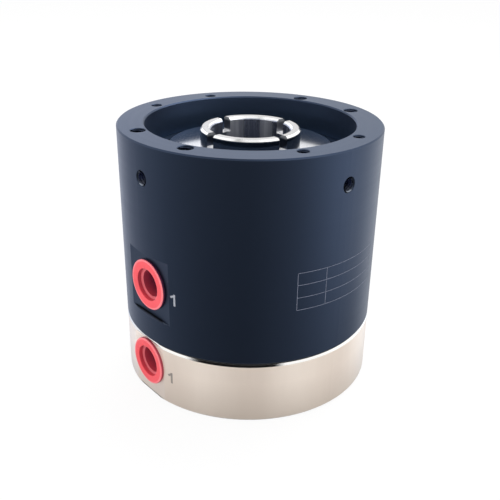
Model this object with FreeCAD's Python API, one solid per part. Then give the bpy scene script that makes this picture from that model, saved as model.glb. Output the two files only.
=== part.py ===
import FreeCAD, Part
import math
import os

# Two-passage pneumatic slip ring with a hollow shaft, in millimetres.
# The origin is the centre of the base's underside and Z is the turning axis.
# Housing port 1 faces -Y. The base and shaft stand turned a little against the housing.

# Outline
outer_d = 100.0
base_h = 24.2
running_gap = 0.4
rest_turn_deg = -1.9
edge_break = 0.5
base_top_chamfer = 0.8

# Hollow shaft
bore_d = 30.0
shaft_d = 60.0
shoulder_overhang = 1.0
shoulder_h = 6.0
crown_wall = 4.0
crown_h = 6.4
crown_drop = 2.6
crown_outer_chamfer = 0.75
crown_inner_chamfer = 1.0
crown_slot_w = 3.7
crown_slot_depth = 5.4
crown_slots = 4
crown_slot_angle = -1.0
spigot_depth = 4.0

# Thin-section ball bearings, one above and one below the seals
bearing_radial = 9.0
bearing_w = 10.0
ball_d = 5.5
balls_per_bearing = 14
land_offset = 1.6
race_clearance = 0.2
shield_t = 0.5
shield_inset = 0.3
shield_gap = 0.35
cage_t = 1.6
cage_h = 6.0
cage_shift = 0.4
pocket_clearance = 0.15
bearing_chamfer = 0.5

# Sealed stretch between the bearings
seal_span = 39.4
seal_bore_gap = 0.35
lower_end_wall = 1.0
upper_end_wall = 2.2
gallery_w = 6.0
gallery_depth = 2.65
seal_groove_w = 4.2
seal_groove_depth = 5.15
slide_ring_t = 2.2
slide_ring_side_gap = 0.2
running_fit = 0.08

# Recess at the top of the housing, and the ring that holds the upper bearing
recess_step = 0.75
clip_t = 2.5
clip_groove_depth = 1.15
clip_play = 0.1
clip_beam = 4.4
clip_mouth_deg = 26.0
clip_mouth_angle = -90.0
clip_lug_r = 3.0
clip_lug_hole_d = 2.5
clip_lug_wall = 1.2

# Dust seal between the base's boss and the housing
boss_h = 2.4
boss_wall = 2.5
dust_seal_gap = 0.3
dust_lip_t = 0.8

# Ports for G3/8 fittings, on flats milled into the round of housing and base
port_angles = (-90.0, 90.0)
port_minor_d = 14.95
port_major_d = 16.66
port_depth = 11.0
drilling_d = 6.5
base_port_drop = 10.1
housing_flat_depth = 1.4
base_flat_depth = 0.9
base_flat_chamfer = 0.4
pocket_above = 12.3
pocket_below = 12.7

# Red transport plugs
plug_flange_t = 1.2
plug_round = 0.3
plug_body_d = 13.8
plug_body_l = 9.0
plug_rib_d = 14.5
plug_rib_t = 0.8
plug_rib_places = (0.35, 0.7)
plug_mouth_d = 12.4
plug_mouth_depth = 1.8
plug_hole_d = 10.3
plug_floor_t = 1.4
housing_plug_flange_d = 19.4
base_plug_flange_d = 18.8

# Holes a machine is fastened to
rim_hole_from_recess = 3.75
rim_hole_angle = 18.75
rim_large_d = 5.5
rim_large_depth = 11.0
rim_small_d = 4.2
rim_small_depth = 10.0
side_hole_d = 5.0
side_hole_major_d = 6.0
side_hole_drop = 12.4
side_hole_depth = 7.5
side_holes = 4
mount_hole_d = 5.0
mount_hole_major_d = 6.0
mount_hole_depth = 12.0
mount_circle_d = 84.0
mount_holes = 6

# Joint between the base and the shaft
screw_d = 5.0
screw_length = 22.0
screw_head_d = 8.5
screw_head_h = 5.0
screw_socket_af = 4.0
screw_socket_depth = 2.6
screw_head_sink = 6.0
screw_hole_gap = 0.25
counterbore_gap = 0.5
screw_angles = (0.0, 42.0, 138.0, 180.0, 222.0, 318.0)
dowel_d = 4.0
dowel_l = 10.0
dowel_angle = 66.0
face_ring_section = 1.8
face_ring_wall = 0.85
face_ring_squeeze = 0.3
static_fit = 0.03

# Cutting
drill_tip_half_angle = 59.0
overrun = 1.0

# Radii from the turning axis
outer_r = outer_d / 2
bore_r = bore_d / 2
shaft_r = shaft_d / 2
shoulder_r = shaft_r + shoulder_overhang
crown_r = bore_r + crown_wall
passage_r = (bore_r + shaft_r) / 2
pitch_r = shaft_r + bearing_radial / 2
ball_r = ball_d / 2
inner_land_r = pitch_r - land_offset
outer_land_r = pitch_r + land_offset
seat_r = shaft_r + bearing_radial
recess_r = seat_r + recess_step
seal_bore_r = shaft_r + seal_bore_gap
seal_groove_r = seal_bore_r + seal_groove_depth
gallery_r = seal_bore_r + gallery_depth
clip_groove_r = recess_r + clip_groove_depth
boss_r = shaft_r + boss_wall
housing_face_r = outer_r - housing_flat_depth
housing_port_end_r = housing_face_r - port_depth
base_face_r = outer_r - base_flat_depth
base_port_end_r = base_face_r - port_depth
rim_hole_r = recess_r + rim_hole_from_recess

# Heights above the base's underside
housing_bottom = base_h + running_gap
lower_bearing_z = base_h + boss_h
seals_bottom = lower_bearing_z + bearing_w
seals_top = seals_bottom + seal_span
upper_bearing_z = seals_top
shoulder_bottom = upper_bearing_z + bearing_w
shoulder_top = shoulder_bottom + shoulder_h
crown_top = shoulder_top + crown_h
rim_z = crown_top + crown_drop
shaft_bottom = base_h - spigot_depth
lower_seal_z = seals_bottom + lower_end_wall + seal_groove_w / 2
upper_seal_z = seals_top - upper_end_wall - seal_groove_w / 2
gallery_pitch = (upper_seal_z - lower_seal_z) / 2
seal_z = (lower_seal_z, lower_seal_z + gallery_pitch, upper_seal_z)
gallery_z = (lower_seal_z + gallery_pitch / 2, upper_seal_z - gallery_pitch / 2)
base_port_z = base_h - base_port_drop
side_hole_z = rim_z - side_hole_drop

origin = FreeCAD.Vector(0, 0, 0)
up = FreeCAD.Vector(0, 0, 1)


def point(radius, angle, z):
    a = math.radians(angle)
    return FreeCAD.Vector(radius * math.cos(a), radius * math.sin(a), z)


def outward(angle):
    return point(1.0, angle, 0.0)


def turned(shape, angle):
    copy = shape.copy()
    copy.rotate(origin, up, angle)
    return copy


def revolved(outline):
    corners = [FreeCAD.Vector(radius, 0, z) for radius, z in outline]
    wire = Part.makePolygon(corners + corners[:1])
    return Part.Face(wire).revolve(origin, up, 360)


def disc(radius, bottom, top, at=origin):
    return Part.makeCylinder(radius, top - bottom, at + up * bottom, up)


def tube(inner, outer, bottom, top):
    return disc(outer, bottom, top).cut(disc(inner, bottom, top))


def radial_bar(radius, start_r, end_r, z, angle):
    return Part.makeCylinder(radius, end_r - start_r, point(start_r, angle, z), outward(angle))


def blind_hole(radius, mouth, direction, depth, mouth_radius):
    # A drilled hole with a countersunk mouth and the cone that the drill leaves
    into = direction * -1.0
    sink = mouth_radius - radius
    tip = radius / math.tan(math.radians(drill_tip_half_angle))
    hole = Part.makeCylinder(radius, depth, mouth, into)
    cone = Part.makeCone(radius, 0, tip, mouth + into * depth, into)
    countersink = Part.makeCone(mouth_radius, radius, sink, mouth, into)
    return hole.fuse([cone, countersink])


def port_cut(face_r, z, angle):
    # The bore of a threaded port, countersunk to the thread's outer diameter
    minor_r = port_minor_d / 2
    mouth_r = port_major_d / 2
    mouth = point(face_r, angle, z)
    sink = Part.makeCone(mouth_r, minor_r, mouth_r - minor_r, mouth, outward(angle) * -1.0)
    return radial_bar(minor_r, face_r - port_depth, face_r + overrun, z, angle).fuse(sink)


def port_flat(face_r, bottom, top, angle):
    # The stock that a mill takes off so that a fitting finds a flat seat
    block = Part.makeBox(outer_r, outer_d, top - bottom, FreeCAD.Vector(face_r, -outer_r, bottom))
    return turned(block, angle)


def flat_top_chamfer(angle):
    # The bevel along the upper edge of a flat on the base
    inner = base_face_r - base_flat_chamfer - overrun
    outer = base_face_r + overrun
    top = base_h + overrun
    low = base_h - base_flat_chamfer - overrun
    edge = [FreeCAD.Vector(x, -outer_r, z) for x, z in ((inner, top), (outer, top), (outer, low))]
    wedge = Part.Face(Part.makePolygon(edge + edge[:1])).extrude(FreeCAD.Vector(0, outer_d, 0))
    return turned(wedge, angle)


def base_flange():
    body = revolved([
        (bore_r + edge_break, 0),
        (outer_r - edge_break, 0),
        (outer_r, edge_break),
        (outer_r, base_h - base_top_chamfer),
        (outer_r - base_top_chamfer, base_h),
        (boss_r, base_h),
        (boss_r, lower_bearing_z),
        (shaft_r + static_fit, lower_bearing_z),
        (shaft_r + static_fit, shaft_bottom),
        (bore_r, shaft_bottom),
        (bore_r, edge_break),
    ])
    cuts = []
    for angle in port_angles:
        cuts.append(port_flat(base_face_r, -overrun, base_h + overrun, angle))
        cuts.append(flat_top_chamfer(angle))
        cuts.append(port_cut(base_face_r, base_port_z, angle))
        cuts.append(radial_bar(drilling_d / 2, passage_r, base_port_end_r + overrun, base_port_z, angle))
        passage = point(passage_r, angle, 0)
        cuts.append(disc(drilling_d / 2, base_port_z, shaft_bottom + overrun, passage))
        groove = tube(
            drilling_d / 2 + face_ring_wall,
            drilling_d / 2 + face_ring_wall + face_ring_section,
            shaft_bottom - face_ring_section + face_ring_squeeze,
            shaft_bottom + overrun,
        )
        groove.translate(passage)
        cuts.append(groove)
    for angle in screw_angles:
        centre = point(passage_r, angle, 0)
        cuts.append(disc(screw_d / 2 + screw_hole_gap, -overrun, shaft_bottom + overrun, centre))
        cuts.append(disc(screw_head_d / 2 + counterbore_gap, -overrun, screw_head_sink, centre))
    for number in range(mount_holes):
        mouth = point(mount_circle_d / 2, number * 360 / mount_holes, 0)
        hole = blind_hole(mount_hole_d / 2, mouth, up * -1.0, mount_hole_depth, mount_hole_major_d / 2)
        cuts.append(hole)
    cuts.append(dowel_pocket())
    return turned(body.cut(cuts), rest_turn_deg)


def through_shaft():
    body = revolved([
        (bore_r, shaft_bottom),
        (shaft_r - edge_break, shaft_bottom),
        (shaft_r, shaft_bottom + edge_break),
        (shaft_r, shoulder_bottom),
        (shoulder_r, shoulder_bottom),
        (shoulder_r, shoulder_top),
        (crown_r, shoulder_top),
        (crown_r, crown_top - crown_outer_chamfer),
        (crown_r - crown_outer_chamfer, crown_top),
        (bore_r + crown_inner_chamfer, crown_top),
        (bore_r, crown_top - crown_inner_chamfer),
    ])
    cuts = []
    for number in range(crown_slots):
        slot = Part.makeBox(
            crown_wall + 2 * overrun,
            crown_slot_w,
            crown_slot_depth + overrun,
            FreeCAD.Vector(bore_r - overrun, -crown_slot_w / 2, crown_top - crown_slot_depth),
        )
        cuts.append(turned(slot, crown_slot_angle + number * 360 / crown_slots))
    for angle, z in zip(port_angles, gallery_z):
        cuts.append(radial_bar(drilling_d / 2, passage_r, shaft_r + overrun, z, angle))
        passage = point(passage_r, angle, 0)
        cuts.append(disc(drilling_d / 2, shaft_bottom - overrun, z + drilling_d / 2, passage))
    for angle in screw_angles:
        start = shaft_bottom - overrun
        end = screw_head_sink + screw_length + screw_d
        cuts.append(disc(screw_d / 2 + static_fit, start, end, point(passage_r, angle, 0)))
    cuts.append(dowel_pocket())
    return turned(body.cut(cuts), rest_turn_deg)


def dowel_pocket():
    reach = dowel_l / 2 + edge_break
    return disc(dowel_d / 2 + static_fit, shaft_bottom - reach, shaft_bottom + reach,
                point(passage_r, dowel_angle, 0))


def locating_dowel():
    pin = disc(dowel_d / 2, shaft_bottom - dowel_l / 2, shaft_bottom + dowel_l / 2,
               point(passage_r, dowel_angle, 0))
    ends = [edge for edge in pin.Edges if edge.Curve.TypeId == "Part::GeomCircle"]
    return turned(pin.makeChamfer(edge_break, ends), rest_turn_deg)


def base_screws():
    head = disc(screw_head_d / 2, screw_head_sink - screw_head_h, screw_head_sink)
    shank = disc(screw_d / 2, screw_head_sink, screw_head_sink + screw_length)
    corner_r = screw_socket_af / math.sqrt(3)
    corners = [point(corner_r, step * 60, screw_head_sink - screw_head_h) for step in range(6)]
    socket = Part.Face(Part.makePolygon(corners + corners[:1])).extrude(up * screw_socket_depth)
    screw = head.fuse(shank).removeSplitter().cut(socket)
    placed = []
    for angle in screw_angles:
        copy = screw.copy()
        copy.translate(point(passage_r, angle, 0))
        placed.append(copy)
    return turned(Part.makeCompound(placed), rest_turn_deg)


def passage_o_rings():
    section_r = face_ring_section / 2
    ring_r = drilling_d / 2 + face_ring_wall + section_r
    height = face_ring_section - face_ring_squeeze
    rings = []
    for angle in port_angles:
        ring = tube(ring_r - section_r + static_fit, ring_r + section_r - static_fit,
                    shaft_bottom - height, shaft_bottom)
        corners = [edge for edge in ring.Edges if edge.Curve.TypeId == "Part::GeomCircle"]
        ring = ring.makeChamfer(face_ring_squeeze, corners)
        ring.translate(point(passage_r, angle, 0))
        rings.append(ring)
    return turned(Part.makeCompound(rings), rest_turn_deg)


def housing():
    groove_half = seal_groove_w / 2
    gallery_half = gallery_w / 2
    clip_top = shoulder_bottom + clip_t + clip_play
    outline = [
        (seat_r, housing_bottom),
        (outer_r - edge_break, housing_bottom),
        (outer_r, housing_bottom + edge_break),
        (outer_r, rim_z - edge_break),
        (outer_r - edge_break, rim_z),
        (recess_r + edge_break, rim_z),
        (recess_r, rim_z - edge_break),
        (recess_r, clip_top),
        (clip_groove_r, clip_top),
        (clip_groove_r, shoulder_bottom),
        (seat_r, shoulder_bottom),
        (seat_r, seals_top),
        (seal_bore_r, seals_top),
    ]
    for number in (2, 1, 0):
        outline += [
            (seal_bore_r, seal_z[number] + groove_half),
            (seal_groove_r, seal_z[number] + groove_half),
            (seal_groove_r, seal_z[number] - groove_half),
            (seal_bore_r, seal_z[number] - groove_half),
        ]
        if number > 0:
            z = gallery_z[number - 1]
            outline += [
                (seal_bore_r, z + gallery_half),
                (gallery_r, z + gallery_half),
                (gallery_r, z - gallery_half),
                (seal_bore_r, z - gallery_half),
            ]
    outline += [(seal_bore_r, seals_bottom), (seat_r, seals_bottom)]
    body = revolved(outline)
    cuts = []
    for angle, z in zip(port_angles, gallery_z):
        cuts.append(port_flat(housing_face_r, z - pocket_below, z + pocket_above, angle))
        cuts.append(port_cut(housing_face_r, z, angle))
        cuts.append(radial_bar(drilling_d / 2, shaft_r, housing_port_end_r + overrun, z, angle))
    for side in (-90, 0, 90, 180):
        large = side in port_angles
        hole_r = (rim_large_d if large else rim_small_d) / 2
        depth = rim_large_depth if large else rim_small_depth
        for offset in (-rim_hole_angle, rim_hole_angle):
            mouth = point(rim_hole_r, side + offset, rim_z)
            cuts.append(blind_hole(hole_r, mouth, up, depth, hole_r + edge_break / 2))
    for number in range(side_holes):
        angle = number * 360 / side_holes
        mouth = point(outer_r, angle, side_hole_z)
        hole = blind_hole(side_hole_d / 2, mouth, outward(angle), side_hole_depth, side_hole_major_d / 2)
        cuts.append(hole)
    return body.cut(cuts)


def race(z):
    # The track that the balls run in, cut into both rings of a bearing
    return Part.makeTorus(pitch_r, ball_r + race_clearance, up * (z + bearing_w / 2), up)


def bearing_inner_ring(z):
    return revolved([
        (shaft_r + static_fit, z),
        (inner_land_r, z),
        (inner_land_r, z + bearing_w),
        (shaft_r + static_fit, z + bearing_w),
    ]).cut(race(z))


def bearing_outer_ring(z):
    return revolved([
        (outer_land_r, z),
        (seat_r - static_fit - bearing_chamfer, z),
        (seat_r - static_fit, z + bearing_chamfer),
        (seat_r - static_fit, z + bearing_w - bearing_chamfer),
        (seat_r - static_fit - bearing_chamfer, z + bearing_w),
        (outer_land_r, z + bearing_w),
    ]).cut(race(z))


def ball_centres(z):
    return [point(pitch_r, number * 360 / balls_per_bearing, z + bearing_w / 2)
            for number in range(balls_per_bearing)]


def bearing_balls(z):
    return Part.makeCompound([Part.makeSphere(ball_r, centre) for centre in ball_centres(z)])


def bearing_cage(z):
    # A crown cage: its pockets are open on the lower side, so that the balls snap in
    middle = z + bearing_w / 2 + cage_shift
    body = tube(pitch_r - cage_t / 2, pitch_r + cage_t / 2, middle - cage_h / 2, middle + cage_h / 2)
    step = 360 / balls_per_bearing
    pocket_r = ball_r + pocket_clearance
    pockets = [radial_bar(pocket_r, inner_land_r, outer_land_r, z + bearing_w / 2, number * step)
               for number in range(balls_per_bearing)]
    return body.cut(pockets)


def bearing_shields(z):
    inner = inner_land_r + shield_gap
    low = tube(inner, outer_land_r, z + shield_inset, z + shield_inset + shield_t)
    high = low.copy()
    high.translate(up * (bearing_w - 2 * shield_inset - shield_t))
    return Part.makeCompound([low, high])


def retaining_ring():
    # An internal circlip with a mouth between two drilled lugs
    bottom = shoulder_bottom
    top = bottom + clip_t
    outer = clip_groove_r - clip_play
    lug_centre_r = outer - clip_beam
    half = clip_mouth_deg / 2
    lug_centres = [point(lug_centre_r, clip_mouth_angle + side * half, 0) for side in (-1, 1)]
    lugs = [disc(clip_lug_r, bottom, top, centre) for centre in lug_centres]
    ring = tube(outer - clip_beam, outer, bottom, top).fuse(lugs)
    mouth_half = half - math.degrees(math.asin((clip_lug_hole_d / 2 + clip_lug_wall) / lug_centre_r))
    mouth = [up * (bottom - overrun)]
    mouth += [point(outer_r, clip_mouth_angle + side * mouth_half, bottom - overrun) for side in (-1, 1)]
    wedge = Part.Face(Part.makePolygon(mouth + mouth[:1])).extrude(up * (clip_t + 2 * overrun))
    holes = [disc(clip_lug_hole_d / 2, bottom - overrun, top + overrun, centre) for centre in lug_centres]
    return ring.cut([wedge] + holes).common(disc(outer, bottom, top)).removeSplitter()


def dust_seal():
    # A ring pressed into the housing, with a lip that thins towards the boss
    lip_r = boss_r + dust_seal_gap
    root_r = (lip_r + seat_r) / 2
    bottom = housing_bottom + dust_seal_gap
    top = lower_bearing_z - dust_seal_gap
    return revolved([
        (seat_r - static_fit, bottom),
        (seat_r - static_fit, top),
        (root_r, top),
        (lip_r, bottom + dust_lip_t),
        (lip_r, bottom),
    ])


def slide_ring(z):
    half = seal_groove_w / 2 - slide_ring_side_gap
    inner = shaft_r + running_fit
    outer = inner + slide_ring_t
    return revolved([
        (inner, z - half + edge_break),
        (inner + edge_break, z - half),
        (outer, z - half),
        (outer, z + half),
        (inner + edge_break, z + half),
        (inner, z + half - edge_break),
    ])


def seal_o_ring(z):
    # Squeezed between the slide ring and the groove, so its section is flattened all round
    inside = shaft_r + running_fit + slide_ring_t
    half_h = (seal_groove_r - inside) / 2
    octagon_half_side = half_h * math.tan(math.pi / 8)
    corner = half_h - octagon_half_side
    return revolved([
        (inside, z - half_h + corner),
        (inside + corner, z - half_h),
        (seal_groove_r - corner, z - half_h),
        (seal_groove_r, z - half_h + corner),
        (seal_groove_r, z + half_h - corner),
        (seal_groove_r - corner, z + half_h),
        (inside + corner, z + half_h),
        (inside, z + half_h - corner),
    ])


def port_plug(face_r, flange_d, z, angle):
    # Turned about its own axis: x is the distance from the slip ring's axis
    face = face_r + plug_flange_t
    end = face_r - plug_body_l
    body_r = plug_body_d / 2
    rib_r = plug_rib_d / 2
    outline = [(plug_mouth_d / 2, face), (flange_d / 2 - plug_round, face), (flange_d / 2, face - plug_round),
               (flange_d / 2, face_r), (body_r, face_r)]
    for share in plug_rib_places:
        rib = face_r - plug_body_l * share
        outline += [(body_r, rib + plug_rib_t), (rib_r, rib + plug_rib_t / 2), (rib_r, rib), (body_r, rib)]
    outline += [(body_r, end + plug_rib_t), (body_r - plug_rib_t, end), (0, end), (0, end + plug_floor_t),
                (plug_hole_d / 2, end + plug_floor_t), (plug_hole_d / 2, face - plug_mouth_depth),
                (plug_mouth_d / 2, face - plug_mouth_depth)]
    plug = revolved(outline)
    plug.rotate(origin, FreeCAD.Vector(0, 1, 0), 90)
    plug.translate(up * z)
    return turned(plug, angle)


parts = {
    "base_flange": base_flange(),
    "through_shaft": through_shaft(),
    "base_screws": base_screws(),
    "locating_dowel": locating_dowel(),
    "passage_o_rings": passage_o_rings(),
    "housing": housing(),
    "retaining_ring": retaining_ring(),
    "dust_seal": dust_seal(),
}
for label, angle, z in zip(("1", "2"), port_angles, gallery_z):
    base_angle = angle + rest_turn_deg
    parts["housing_port_plug_" + label] = port_plug(housing_face_r, housing_plug_flange_d, z, angle)
    parts["base_port_plug_" + label] = port_plug(base_face_r, base_plug_flange_d, base_port_z, base_angle)
for name, z in (("lower", lower_bearing_z), ("upper", upper_bearing_z)):
    parts[name + "_bearing_inner_ring"] = bearing_inner_ring(z)
    parts[name + "_bearing_outer_ring"] = bearing_outer_ring(z)
    parts[name + "_bearing_cage"] = bearing_cage(z)
    parts[name + "_bearing_balls"] = bearing_balls(z)
    parts[name + "_bearing_shields"] = bearing_shields(z)
for name, z in zip(("lower", "middle", "upper"), seal_z):
    parts[name + "_slide_ring"] = slide_ring(z)
    parts[name + "_seal_o_ring"] = seal_o_ring(z)

os.makedirs("parts", exist_ok=True)
for name, shape in parts.items():
    shape.exportStep("parts/" + name + ".step")
    print(name, len(shape.Solids), "valid" if shape.isValid() else "not valid", round(shape.Volume, 1))
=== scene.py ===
import bmesh
import bpy
import math
import numpy as np
from mathutils import Matrix, Vector


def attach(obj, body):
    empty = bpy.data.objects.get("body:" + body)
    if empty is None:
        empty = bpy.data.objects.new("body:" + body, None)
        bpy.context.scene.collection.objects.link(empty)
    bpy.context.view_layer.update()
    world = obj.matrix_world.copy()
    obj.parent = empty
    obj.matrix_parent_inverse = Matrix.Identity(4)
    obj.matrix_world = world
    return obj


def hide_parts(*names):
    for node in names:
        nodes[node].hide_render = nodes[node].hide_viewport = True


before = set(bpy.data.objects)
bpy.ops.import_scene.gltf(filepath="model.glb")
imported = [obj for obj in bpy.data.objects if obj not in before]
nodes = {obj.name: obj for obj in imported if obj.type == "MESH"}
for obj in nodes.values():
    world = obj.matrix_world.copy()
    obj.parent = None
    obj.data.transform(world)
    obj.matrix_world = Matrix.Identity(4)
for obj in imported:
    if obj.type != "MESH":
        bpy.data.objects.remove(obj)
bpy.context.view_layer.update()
scene = bpy.context.scene
scene.view_settings.view_transform = "Standard"
mm = 0.001
print("stage 1: packed model loaded with", len(nodes), "nodes")


# Camera

cameraView = {
    "azimuth": 47.8,       # degrees round the object from the housing port's side
    "distance": 0.2596,    # metres from the turning axis
    "height": 0.1668,
    "pitch": 24.79,        # degrees below the horizon
    "yaw": 0.13,
    "roll": 0.92,
    "focalShare": 1.3974,  # focal length as a share of the picture's width
    "sensor": 36.0,
    "nearest": 0.01,       # metres, where the view starts and ends
    "farthest": 20.0,
}


def makeCamera(look):
    pitch, yaw, roll, azimuth = (math.radians(look[key]) for key in ("pitch", "yaw", "roll", "azimuth"))
    level = math.cos(pitch)
    forward = Vector((math.sin(yaw) * level, math.cos(yaw) * level, -math.sin(pitch)))
    flatRight = Vector((math.cos(yaw), -math.sin(yaw), 0))
    flatUp = flatRight.cross(forward)
    right = math.cos(roll) * flatRight + math.sin(roll) * flatUp
    up = -math.sin(roll) * flatRight + math.cos(roll) * flatUp
    axes = Matrix((right, up, -forward)).transposed().to_4x4()
    place = Matrix.Translation((0, -look["distance"], look["height"]))
    data = bpy.data.cameras.new("camera")
    data.sensor_width = look["sensor"]
    data.lens = look["sensor"] * look["focalShare"]
    data.clip_start = look["nearest"]
    data.clip_end = look["farthest"]
    camera = bpy.data.objects.new("camera", data)
    scene.collection.objects.link(camera)
    camera.matrix_world = Matrix.Rotation(azimuth, 4, "Z") @ place @ axes
    scene.camera = camera


makeCamera(cameraView)
print("stage 2: camera placed")


# Node helpers

def setSockets(tree, node, values):
    # Another node's socket is linked, anything else is a fixed value; a colour gets its alpha here
    for key, value in values.items():
        socket = node.inputs[key]
        if isinstance(value, bpy.types.NodeSocket):
            tree.links.new(value, socket)
        elif socket.type == "RGBA":
            socket.default_value = (*value, 1.0)
        else:
            socket.default_value = value


def addNode(tree, kind, inputs=None, **settings):
    made = tree.nodes.new("ShaderNode" + kind)
    for key, value in settings.items():
        setattr(made, key, value)
    setSockets(tree, made, inputs or {})
    return made


def mathNode(tree, operation, *values, clamp=False):
    made = addNode(tree, "Math", dict(enumerate(values)), operation=operation, use_clamp=clamp)
    return made.outputs[0]


def product(tree, first, *others):
    for other in others:
        first = mathNode(tree, "MULTIPLY", first, other)
    return first


def vectorMath(tree, operation, first, second=(0, 0, 0)):
    # With SCALE the second value is a factor
    place = "Scale" if operation == "SCALE" else 1
    made = addNode(tree, "VectorMath", {0: first, place: second}, operation=operation)
    return made.outputs["Value" if operation in ("LENGTH", "DOT_PRODUCT") else "Vector"]


def joinVector(tree, x, y, z):
    return addNode(tree, "CombineXYZ", {0: x, 1: y, 2: z}).outputs[0]


def splitVector(tree, vector):
    return tuple(addNode(tree, "SeparateXYZ", {0: vector}).outputs)


def mixColours(tree, share, first, second, blend="MIX"):
    made = addNode(tree, "Mix", {0: share, 6: first, 7: second}, data_type="RGBA", blend_type=blend)
    return made.outputs[2]


def mixValues(tree, share, first, second):
    return addNode(tree, "Mix", {0: share, 2: first, 3: second}, data_type="FLOAT").outputs[0]


def remap(tree, value, low, high, newLow=0.0, newHigh=1.0, curve="LINEAR"):
    inputs = {0: value, 1: low, 2: high, 3: newLow, 4: newHigh}
    return addNode(tree, "MapRange", inputs, interpolation_type=curve).outputs[0]


def noiseAt(tree, place, scale, detail, rough=0.5, distortion=0.0):
    inputs = {"Vector": place, "Scale": scale, "Detail": detail, "Roughness": rough, "Distortion": distortion}
    return addNode(tree, "TexNoise", inputs).outputs[0]


def stretchNoise(tree, noise, newLow=0.0, newHigh=1.0):
    # A noise stays mostly between 0.3 and 0.7: this spreads it over the whole of a range
    return remap(tree, noise, 0.3, 0.7, newLow, newHigh)


def objectPlace(tree):
    return addNode(tree, "TexCoord").outputs["Object"]


def aroundAxis(tree):
    # Distance from the turning axis, height, and the unit vector that leads away from the axis
    x, y, z = splitVector(tree, objectPlace(tree))
    flat = joinVector(tree, x, y, 0.0)
    return vectorMath(tree, "LENGTH", flat), z, vectorMath(tree, "NORMALIZE", flat)


def newGroup(name, inputs, outputs):
    # inputs: each number's name and its default
    tree = bpy.data.node_groups.new(name, "ShaderNodeTree")
    for label, default in inputs.items():
        socket = tree.interface.new_socket(name=label, in_out="INPUT", socket_type="NodeSocketFloat")
        socket.default_value = default
    for label in outputs:
        tree.interface.new_socket(name=label, in_out="OUTPUT", socket_type="NodeSocketFloat")
    return tree, tree.nodes.new("NodeGroupInput").outputs, tree.nodes.new("NodeGroupOutput")


def useGroup(tree, group, inputs):
    return addNode(tree, "Group", inputs, node_tree=group).outputs


# Shared effects, each a group with named inputs

def makeTurnedMarks(wideShare=0.11):
    # Lathe lines: noise of (distance from the axis, height) * lines + heading * waver, so they ring the
    # axis on walls and faces alike; the shade is a wider noise of the same place
    inputs = {"Lines per metre": 4000.0, "Waver": 1.0}
    tree, given, result = newGroup("turnedMarks", inputs, ("Height", "Shade"))
    radius, height, heading = aroundAxis(tree)
    across = vectorMath(tree, "SCALE", joinVector(tree, radius, height, 0.0), given["Lines per metre"])
    place = vectorMath(tree, "ADD", across, vectorMath(tree, "SCALE", heading, given["Waver"]))
    setSockets(tree, result, {"Height": noiseAt(tree, place, 1.0, 3.0, 0.6),
                              "Shade": noiseAt(tree, place, wideShare, 2.0)})
    return tree


def makeFineGrain():
    # Blasted or moulded grain: fine noise for the height, a coarser one for the shade
    inputs = {"Grain size": 0.0002, "Patch size": 0.01}
    tree, given, result = newGroup("fineGrain", inputs, ("Height", "Shade"))
    place = objectPlace(tree)
    fine = mathNode(tree, "DIVIDE", 1.0, given["Grain size"])
    coarse = mathNode(tree, "DIVIDE", 1.0, given["Patch size"])
    setSockets(tree, result, {"Height": noiseAt(tree, place, fine, 2.0, 0.65),
                              "Shade": noiseAt(tree, place, coarse, 3.0, 0.55)})
    return tree


wearLook = {
    "samples": 6,
    "match": (0.995, 0.86),   # cosine of rounded and true normal where wear starts and where it is full
    "patches": 420.0,         # scale of the noise that breaks the line up
    "gaps": (0.35, 0.65),     # its levels where a gap starts and where it is full
    "breakUp": 0.3,           # how much of the line it takes away
}


def makeEdgeWear(look):
    # Where the rounded normal leaves the true one there is an edge; noise breaks the line up
    tree, given, result = newGroup("edgeWear", {"Width": 0.0004, "Strength": 1.0}, ("Mask",))
    rounded = addNode(tree, "Bevel", {"Radius": given["Width"]}, samples=look["samples"]).outputs[0]
    plain = addNode(tree, "NewGeometry").outputs["Normal"]
    edge = remap(tree, vectorMath(tree, "DOT_PRODUCT", rounded, plain), *look["match"])
    broken = remap(tree, noiseAt(tree, objectPlace(tree), look["patches"], 3.0), *look["gaps"])
    kept = mathNode(tree, "SUBTRACT", 1.0, product(tree, broken, look["breakUp"]))
    mask = mathNode(tree, "MULTIPLY", product(tree, edge, kept), given["Strength"], clamp=True)
    setSockets(tree, result, {"Mask": mask})
    return tree


handlingLook = {
    "start": 0.75,            # noise level where a patch starts without cover
    "lowered": 0.3,           # how far full cover lowers it
    "soft": 0.2,              # levels from a patch's edge to its full strength
}


def makeHandling(look):
    # Faint smears and settled dust: soft noise cut to patches
    tree, given, result = newGroup("handling", {"Patch size": 0.03, "Cover": 0.5}, ("Mask",))
    scale = mathNode(tree, "DIVIDE", 1.0, given["Patch size"])
    noise = noiseAt(tree, objectPlace(tree), scale, 4.0, 0.6, 0.6)
    start = mathNode(tree, "SUBTRACT", look["start"], product(tree, given["Cover"], look["lowered"]))
    full = mathNode(tree, "ADD", start, look["soft"])
    setSockets(tree, result, {"Mask": remap(tree, noise, start, full)})
    return tree


def makeNearAxis(soft=0.0003):
    # One within a distance of the turning axis and nought from a little outside it
    tree, given, result = newGroup("nearAxis", {"Within": 0.0155}, ("Mask",))
    outside = mathNode(tree, "ADD", given["Within"], soft)
    setSockets(tree, result, {"Mask": remap(tree, aroundAxis(tree)[0], given["Within"], outside, 1.0, 0.0)})
    return tree


def makeDrawnStreaks(rise=12.0):
    # Marks that run along the axis, as in a drawn or honed bore:
    # noise of heading * count + (0, 0, rise * height)
    tree, given, result = newGroup("drawnStreaks", {"Count": 30.0}, ("Shade",))
    radius, height, heading = aroundAxis(tree)
    along = joinVector(tree, 0.0, 0.0, product(tree, height, rise))
    place = vectorMath(tree, "ADD", vectorMath(tree, "SCALE", heading, given["Count"]), along)
    setSockets(tree, result, {"Shade": noiseAt(tree, place, 1.0, 3.0, 0.6)})
    return tree


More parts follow.
